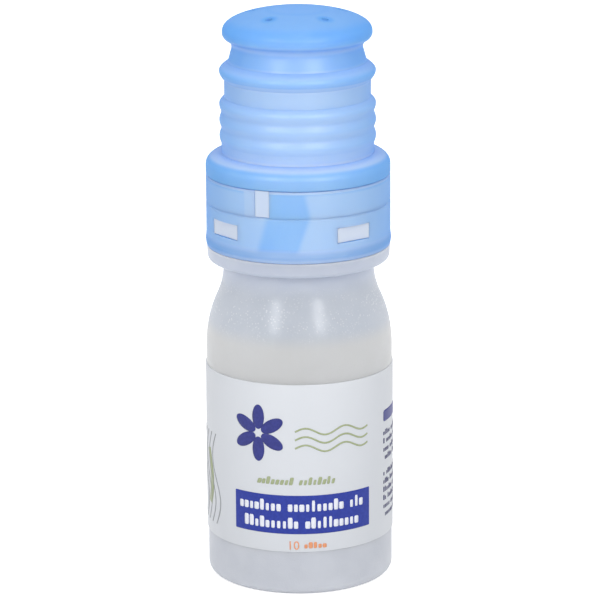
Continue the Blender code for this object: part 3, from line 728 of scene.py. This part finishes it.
tip = turned("dropper_tip", filleted([
    (chamber_r, tip_low.z, 0.0001), (tip_high.x, tip_low.z, 0.0001), (tip_high.x, tip_flange_top_z, 0.0001),
    (stem_r, tip_flange_top_z, 0), (stem_r, stem_top_z, 0.0006), (tip_end_r, cone_z, 0.0002),
    (tip_mouth_r, tip_high.z, 0.0004), (orifice_r, tip_high.z, 0.0001), (orifice_r, guide_top_z, 0),
    (guide_r, guide_top_z, 0), (guide_r, guide_z, 0), (chamber_r, guide_z, 0),
]), white, 96)
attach(tip, "bottle")
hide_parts("nozzle_tip")

# Lock ring
# White split ring behind the collar, which hooks under the neck bead and holds the housing's flange down.
# Four lugs fill the collar's windows, a stop fills the gap where the tamper band's ends meet, and the
# slanting slot at the front lets the ring spring over the bead.

ring_low, ring_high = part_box("lock_ring")
ring_r = 0.01048
ring_bore_r = 0.00988
ring_hook_r = 0.00938
ring_lip_r = 0.00818
hook_top_z = 0.04575
ring_lip_z = 0.0518
window_count = 4
window_first = math.radians(37)
window_width = 0.0050
window_low_z = collar_low.z + 0.00233
window_high_z = window_low_z + 0.00198
lug_gap = 0.00006
band_low, band_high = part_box("tamper_band")
stop_deg = -22.75
stop_half_deg = 4.6
stop_r = 0.0116
lug_r = 0.01138
join_depth = 0.0004
seam_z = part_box("cap_shell")[0].z - 0.00004


def block(name, low, high, turn_deg=0.0):
    """A box between two corners, turned round the axis, as a cutting or joining tool."""
    shape = bmesh.new()
    bmesh.ops.create_cube(shape, size=1.0)
    size = Vector(high) - Vector(low)
    bmesh.ops.transform(shape, verts=shape.verts, matrix=Matrix.Rotation(math.radians(turn_deg), 4, "Z")
                        @ Matrix.Translation((Vector(low) + Vector(high)) / 2)
                        @ Matrix.Diagonal((*size, 1)))
    return as_piece(name, shape)


def combine(piece, tool, operation):
    """Cuts the tool out of the piece or joins it on, then removes the tool."""
    modifier = piece.modifiers.new(operation, "BOOLEAN")
    modifier.operation = operation
    modifier.solver = "EXACT"
    modifier.object = tool
    piece.data = evaluated_mesh(piece)
    bpy.data.objects.remove(tool)
    return finished(piece)


def slab(name, outline, front_y, back_y):
    """An upright slab from an outline of (x, z) points, as a cutting tool."""
    shape = bmesh.new()
    face = shape.faces.new([shape.verts.new((x, front_y, z)) for x, z in outline])
    grown = bmesh.ops.extrude_face_region(shape, geom=[face])
    moved = [item for item in grown["geom"] if isinstance(item, bmesh.types.BMVert)]
    bmesh.ops.translate(shape, verts=moved, vec=(0, back_y - front_y, 0))
    bmesh.ops.recalc_face_normals(shape, faces=shape.faces)
    return as_piece(name, shape)


def behind_band(place):
    """Share of painted blue light on the ring: 1 above the windows, where light reaches it through the blue
    band, and less in them.
    """
    return 0.68 + place.axes()[2].rise(window_high_z, window_high_z + 0.001) * 0.32


ring_plastic = white_plastic("white_ring_plastic", behind_band)
lock_ring = turned("white_lock_ring", filleted([
    (ring_hook_r, ring_low.z, 0.0001), (ring_r, ring_low.z, 0.0001), (ring_r, ring_high.z, 0.0001),
    (ring_lip_r, ring_high.z, 0.0001), (ring_lip_r, ring_lip_z, 0), (ring_bore_r, ring_lip_z, 0),
    (ring_bore_r, hook_top_z, 0), (ring_hook_r, hook_top_z, 0.0001),
], 3), ring_plastic)
lug = block("lugs", (-window_width / 2 + lug_gap, -lug_r, window_low_z + lug_gap),
            (window_width / 2 - lug_gap, -ring_r + join_depth, window_high_z - lug_gap))
grow(lug, copies_round, Count=window_count, First_Angle=window_first, Material=ring_plastic)
combine(lock_ring, lug, "UNION")
slot_outline = [(-0.0032, 0.0530), (0.0008, 0.0530), (0.00155, 0.0494), (0.00135, 0.0490)]
slot_outline += [(-0.0004, 0.0446), (-0.0006, 0.0430), (-0.0055, 0.0430), (-0.0051, 0.0450)]
slot_outline += [(-0.0040, 0.0490), (-0.0038, 0.0494)]
slot_cut = 0.002
combine(lock_ring, slab("slot", slot_outline, -ring_r - slot_cut, -ring_lip_r + slot_cut), "DIFFERENCE")
stop_half = stop_r * math.radians(stop_half_deg)
combine(lock_ring, block("stop", (-stop_half, -stop_r, band_low.z + 0.0001),
                         (stop_half, -ring_r + join_depth, seam_z), stop_deg), "UNION")
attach(lock_ring, "bottle")
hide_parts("lock_ring")

# Snap collar and tamper band
# Translucent blue polypropylene. The collar snaps over the lock ring and stays on the bottle, and the
# band above it tears off at first opening: it is open at its tab and held by a thin web at each seam.

band_r = band_high.x
blue_wall = 0.0009
foot_swell_z = collar_low.z + 0.00076
foot_top_z = collar_low.z + 0.00163
tear_half_deg = stop_half_deg + 0.15
web_depth = 0.00005
web_gap = 0.00005
over_cut = 0.001


def blue_plastic(name, pale_share, deep_share=None):
    """Blue translucent polypropylene with soft flow lines, paler and deeper as the shares say."""
    material, shader, place = start_material(name, IOR=1.4, Transmission_Weight=0.08, Subsurface_Weight=0.9,
                                             Subsurface_Scale=0.0016, Subsurface_Radius=(0.8, 0.9, 1.0),
                                             Specular_IOR_Level=0.15, Coat_Roughness=0.46, Coat_IOR=2.3,
                                             Sheen_Weight=1.0, Sheen_Roughness=0.95,
                                             Sheen_Tint=(0.02, 0.27, 0.80, 1))
    z = place.axes()[2]
    toward = 1 - place.node("ShaderNodeLayerWeight", out="Facing", Blend=0.5)
    flow = place.noise(260, 3.0, (1, 1, 0.4))
    grain = place.noise(5200, 2.0) + place.noise(800, 2.0)
    deep = flow.rise(0.25, 0.8).blend((0.27, 0.52, 0.98, 1), (0.32, 0.57, 0.98, 1))
    deep = z.between(0, collar_low.z + 0.0016, 0.0004).blend(deep, (0.35, 0.49, 0.70, 1))
    # pale share: the white parts behind the wall, and painted light where the share functions say
    color = pale_share(place).blend(deep, (0.90, 0.93, 1.0, 1))
    gloss = toward.math("POWER", 3.0)
    if deep_share:
        color = deep_share(place).blend(color, (0.15, 0.42, 1.0, 1))
        gloss = gloss * (1 - deep_share(place))
    link(shader, Base_Color=color, Roughness=0.30 + flow * 0.14, Coat_Weight=gloss,
         Normal=bump(grain, 0.00001))
    return material


def over_ring_and_painted_light(place):
    """Paler where the white ring lies behind the wall and at the band's thin end, with painted light on
    shaded edges.

    The ring's own slot leaves a deep blue stripe that leans and bends as slot_outline does.
    """
    x, y, z = place.axes()
    # partly painted light: the band's end by the tear is paler where the ring lies close behind, and against
    # the shade in the gap
    thin_end = x.between(-0.0068, -0.0043, 0.0002) * y.rise(0, -0.004) * z.rise(collar_high.z, band_low.z)
    right_edge = (z * 0.35 - 0.01576).math("MINIMUM", 0.01282 - z * 0.23)
    left_edge = (z * 0.27 - 0.01719).math("MINIMUM", z * 0.11 - 0.00931)
    in_slot = (x - left_edge).rise(-0.0006, 0.0006) * (1 - (x - right_edge).rise(-0.0005, 0.0005))
    in_slot = in_slot * y.rise(0.002, -0.002)
    behind = z.between(ring_low.z + 0.0013, ring_high.z - 0.0002, 0.0004) * (1 - in_slot) * 0.38
    # painted light: lifts the shaded seam under the cap's skirt
    seam = z.between(band_high.z - 0.0001, seam_z + 0.0003, 0.0001) * 0.5
    # painted light: lifts the shade along the collar's foot, over the flange
    lip = z.between(0, collar_low.z + 0.0004, 0.0002) * 0.35
    return behind.math("MAXIMUM", thin_end * 0.52).math("MAXIMUM", seam).math("MAXIMUM", lip)


collar = turned("blue_collar", filleted([
    (band_r - blue_wall, collar_low.z, 0.0001), (band_r, collar_low.z, 0.00012),
    (collar_high.x, foot_swell_z, 0.0004), (band_r, foot_top_z, 0.0004),
    (band_r, collar_high.z, 0.00008), (band_r - web_depth, collar_high.z + web_gap, 0.0001),
    (band_r - web_depth, band_low.z + web_gap, 0), (band_r - blue_wall, band_low.z + web_gap, 0),
]), blue_plastic("blue_collar_plastic", over_ring_and_painted_light))
window = block("windows", (-window_width / 2, -collar_high.x - over_cut, window_low_z),
               (window_width / 2, -band_r + blue_wall + over_cut, window_high_z))
grow(window, copies_round, Count=window_count, First_Angle=window_first)
combine(collar, window, "DIFFERENCE")

band = turned("blue_tamper_band", filleted([
    (band_r - blue_wall, band_low.z, 0.0001), (band_r, band_low.z, 0.00008),
    (band_r, band_high.z, 0.00008), (band_r - web_depth, band_high.z + web_gap, 0.0001),
    (band_r - web_depth, seam_z, 0), (band_r - blue_wall, seam_z, 0.0001),
]), blue_plastic("blue_band_plastic", over_ring_and_painted_light))
tear_half = band_r * math.radians(tear_half_deg)
tear = block("tear", (-tear_half, -band_r - over_cut, band_low.z - over_cut),
             (tear_half, -band_r + blue_wall + over_cut, band_high.z + over_cut), stop_deg)
combine(band, tear, "DIFFERENCE")
for piece, node in ((collar, "snap_collar"), (band, "tamper_band")):
    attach(piece, "bottle")
    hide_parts(node)

# Cap
# One moulding in the same blue: skirt and round shoulder, ribbed barrel, plain waist with a rolled rib,
# short cone and domed thumb disc with five vent holes. The barrel slides over the white drum.

cap_low, cap_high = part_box("cap_shell")
seal_low, seal_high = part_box("cap_seal")
waist_r = 0.00924
grip_root_r = waist_r + 0.0004
rib_crest_r = waist_r + 0.00064
cap_shoulder_z = cap_low.z + 0.0012
cap_shoulder_rise = 0.0015
barrel_z = cap_shoulder_z + cap_shoulder_rise
rib_heights = (0.05742, 0.05946, 0.06153)
rib_half = 0.000875
top_rib_z = 0.06572
top_rib_half = 0.00115
top_rib_r = waist_r + 0.00062
cone_foot_r = 0.00874
cone_top_r = 0.00815
cone_top_z = 0.06899
disc_r = 0.00945
disc_z = 0.07055
disc_round = 0.00094
dome_height = cap_high.z - disc_z
dome_edge_power = 1.13
dome_top_power = 0.81
cap_ceiling_z = 0.0716
cap_step_z = 0.0651
barrel_bore_r = 0.0083
cone_bore_r = 0.0071
socket_bore_r = 0.0033
socket_r = 0.0041
socket_low_z = cap_ceiling_z - 0.0014
vent_count = 5
vent_r = 0.00045
vent_circle_r = 0.0059
vent_cut_depth = 0.004


def arc(centre, radii, start_deg, end_deg, steps):
    """Points of an elliptical arc in the (radius, height) plane, both ends included."""
    angles = [math.radians(start_deg + (end_deg - start_deg) * i / steps) for i in range(steps + 1)]
    return [(centre[0] + radii[0] * math.cos(a), centre[1] + radii[1] * math.sin(a)) for a in angles]


def rib(z, half, root_r, crest_r, upper_root_r, steps=10):
    """A rounded rib from its lower root over the crest to its upper root."""
    points = []
    for i in range(steps + 1):
        t = 2 * i / steps - 1
        root = root_r if t < 0 else upper_root_r
        points.append((root + (crest_r - root) * math.cos(t * math.pi / 2), z + half * t))
    return points


cap_outline = [(0, cap_ceiling_z, 0), (socket_bore_r, cap_ceiling_z, 0.0001)]
cap_outline += [(socket_bore_r, socket_low_z, 0.0001), (socket_r, socket_low_z, 0.0001)]
cap_outline += [(socket_r, cap_ceiling_z, 0.0002), (cone_bore_r, cap_ceiling_z, 0.0003)]
cap_outline += [(cone_bore_r, cap_step_z, 0.0001), (barrel_bore_r, cap_step_z, 0.0002)]
cap_outline += [(barrel_bore_r, barrel_z - blue_wall, 0.0001)]
cap_outline += corners_of(arc((grip_root_r, cap_shoulder_z), (cap_high.x - blue_wall - grip_root_r,
                                                              cap_shoulder_rise - blue_wall), 90, 0, 6))
cap_outline += [(cap_high.x - blue_wall, cap_low.z, 0.0001), (cap_high.x, cap_low.z, 0.00015)]
cap_outline += corners_of(arc((grip_root_r, cap_shoulder_z), (cap_high.x - grip_root_r, cap_shoulder_rise),
                              0, 90, 16))
for rib_z in rib_heights:
    upper_r = waist_r if rib_z == rib_heights[-1] else grip_root_r
    cap_outline += corners_of(rib(rib_z, rib_half, grip_root_r, rib_crest_r, upper_r))
cap_outline += corners_of(rib(top_rib_z, top_rib_half, waist_r, top_rib_r, cone_foot_r, 14))
cap_outline += [(cone_top_r, cone_top_z, 0.0010)]
cap_outline += corners_of(arc((disc_r - disc_round, disc_z), (disc_round, disc_round), -75, 0, 8))
for step in range(1, 30):
    a = math.radians(3 * step)
    dome_r = disc_r * math.cos(a) ** dome_edge_power
    cap_outline += [(dome_r, disc_z + dome_height * math.sin(a) ** dome_top_power, 0)]
cap_outline += [(0, cap_high.z, 0)]


def thin_barrel_and_painted_light(place):
    """Most in the thin barrel over the drum, a little in the cone, and painted light on shaded flanks, foot,
    crevice, rib and dome.
    """
    x, y, height = place.axes()
    # partly painted light: crests a little deeper for the thicker rib, and grooves paler against their shade
    crest = (x * x + y * y).math("SQRT").rise(grip_root_r - 0.0002, rib_crest_r)
    # painted light: paler on the shaded flanks under each rib and on the waist under the rolled rib
    under = height.between(barrel_z + 0.0003, rib_heights[0] - 0.0002, 0.0003)
    for rib_z in rib_heights[1:]:
        under = under + height.between(rib_z - rib_half, rib_z - 0.0002, 0.0003)
    under = under + height.between(top_rib_z - top_rib_half - 0.0001, cap_step_z + 0.0003, 0.0002)
    barrel = height.between(barrel_z - 0.00045, cap_step_z, 0.00015) * (0.44 - crest * 0.12 + under * 0.16)
    # partly painted light: paler at the barrel's foot where the drum's flange lies behind, and against the
    # shade in the corner over the shoulder
    foot = height.between(barrel_z - 0.0006, barrel_z + 0.0003, 0.0002) * 0.4
    cone = height.between(cap_step_z, disc_z - disc_round, 0.00015) * 0.08
    # painted light: paler in the shaded crevice under the disc
    cone = cone + height.between(cone_top_z, disc_z - 0.0005, 0.0003) * 0.38
    # painted light: paler on the rolled rib's shaded lower flank
    cone = cone + height.between(cap_step_z, top_rib_z - 0.0002, 0.0002) * 0.12
    # painted light: paler over the rolled rib's upper half, evening out its shading
    top_rib = height.between(top_rib_z + 0.0004, top_rib_z + top_rib_half + 0.00015, 0.0003) * 0.3
    # painted light: a paler dome top, against the deeper blue the sheen gives it at a low view
    dome = height.rise(disc_z + 0.0004, cap_high.z) * 0.18
    skirt = height.between(cap_low.z, barrel_z - 0.0008, 0.0003) * 0.05
    return barrel + foot + cone + top_rib + dome + skirt


def deep_disc_spots(place):
    """Deeper blue over the disc's rim, round the vent holes and over the seal's socket."""
    x, y, z = place.axes()
    out = (x * x + y * y).math("SQRT")
    spots = z.between(disc_z - 0.0001, disc_z + 0.0015, 0.0004) * 0.42
    spots = spots + out.between(socket_bore_r, socket_r, 0.0003) * 0.15
    for index in range(vent_count):
        angle = math.tau * (index + 0.5) / vent_count
        across = x - vent_circle_r * math.sin(angle)
        along = y + vent_circle_r * math.cos(angle)
        spots = spots + (1 - (across * across + along * along).math("SQRT").rise(0.0005, 0.0014)) * 0.7
    return spots * z.rise(disc_z - disc_round, disc_z)


cap = turned("blue_cap", filleted(cap_outline), blue_plastic("blue_cap_plastic", thin_barrel_and_painted_light, deep_disc_spots))

vent_shape = bmesh.new()
bmesh.ops.create_cone(vent_shape, cap_ends=True, segments=20, radius1=vent_r, radius2=vent_r,
                      depth=vent_cut_depth)
bmesh.ops.translate(vent_shape, verts=vent_shape.verts, vec=(0, -vent_circle_r, cap_high.z - over_cut))
vent = as_piece("vents", vent_shape)
grow(vent, copies_round, Count=vent_count, First_Angle=math.pi / vent_count)
combine(cap, vent, "DIFFERENCE")
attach(cap, "cap")
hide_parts("cap_shell")

# Cap seal
# Soft cup pressed into the socket under the disc. It closes over the nozzle's mouth when the cap is on.

seal_bore_r = 0.0022
seal_floor_z = 0.0702
cap_seal = turned("soft_cap_seal", filleted([
    (0, seal_floor_z, 0), (seal_bore_r, seal_floor_z, 0.0002), (seal_bore_r, seal_low.z, 0.0001),
    (seal_high.x, seal_low.z, 0.0001), (seal_high.x, seal_high.z, 0.0002), (0, seal_high.z, 0),
]), rubber, 96)
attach(cap_seal, "cap")
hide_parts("cap_seal")

# Studio
# Plain pale floor, an even white surround, and three soft boxes: one on each side of the camera and a
# large one above.

view_distance = 0.45
view_height = math.radians(15)
target = Vector((0.00014, 0, 0.03575))
focal_length = 211.4
camera_roll = math.radians(-0.37)


def seen_directly(wire):
    """1 for camera, glossy and transmission rays, which see the plain white surround."""
    path = wire.tree.nodes.new("ShaderNodeLightPath")
    rays = [Wire(wire.tree, path.outputs[name]) for name in ("Is Camera Ray", "Is Glossy Ray",
                                                             "Is Transmission Ray")]
    return rays[0].math("MAXIMUM", rays[1]).math("MAXIMUM", rays[2])


world = bpy.data.worlds.new("studio_surround")
world.use_nodes = True
bpy.context.scene.world = world
air = Wire(world.node_tree)
dim = air.node("ShaderNodeBackground", Color=(0.97, 0.98, 1.0, 1), Strength=0.63)
plain = air.node("ShaderNodeBackground", Color=(1, 1, 1, 1), Strength=1.0)
surround = air.node("ShaderNodeMixShader", Fac=seen_directly(air), Shader=dim, Shader_001=plain)
world.node_tree.links.new(surround.socket, world.node_tree.nodes["World Output"].inputs["Surface"])

floor_shape = bmesh.new()
bmesh.ops.create_grid(floor_shape, x_segments=1, y_segments=1, size=3.0)
floor_material, floor_shader, floor_place = start_material("pale_floor", Roughness=0.9,
                                                           Specular_IOR_Level=0.1, Emission_Strength=0.72)
paper = floor_place.noise(60, 3.0)
link(floor_shader, Base_Color=paper.blend((0.78, 0.78, 0.78, 1), (0.80, 0.80, 0.80, 1)),
     Emission_Color=seen_directly(paper))
floor = as_piece("studio_floor", floor_shape, floor_material)


def soft_box(name, azimuth, reach, middle_z, width, height, power):
    """A soft box that far from the axis, at that angle right of the camera, facing the bottle."""
    lamp = bpy.data.lights.new(name, "AREA")
    lamp.shape = "RECTANGLE"
    lamp.size = width
    lamp.size_y = height
    lamp.energy = power
    box = bpy.data.objects.new(name, lamp)
    bpy.context.scene.collection.objects.link(box)
    box.location = (reach * math.sin(azimuth), -reach * math.cos(azimuth), middle_z)
    box.rotation_euler = (target - box.location).to_track_quat("-Z", "Y").to_euler()


soft_box("soft_box_left", math.radians(-34), 0.55, 0.29, 0.10, 0.22, 0.80)
soft_box("soft_box_right", math.radians(29), 0.55, 0.29, 0.12, 0.22, 0.87)
soft_box("soft_box_above", 0, 0.15, 0.75, 0.4, 0.4, 0.62)

camera = bpy.data.objects.new("camera", bpy.data.cameras.new("camera"))
bpy.context.scene.collection.objects.link(camera)
bpy.context.scene.camera = camera
camera.data.lens = focal_length
camera.data.clip_start = 0.01
camera.location = target + view_distance * Vector((0, -math.cos(view_height), math.sin(view_height)))
look = (target - camera.location).to_track_quat("-Z", "Y")
camera.rotation_euler = (look @ Quaternion((0, 0, 1), camera_roll)).to_euler()
bpy.context.scene.view_settings.view_transform = "Standard"
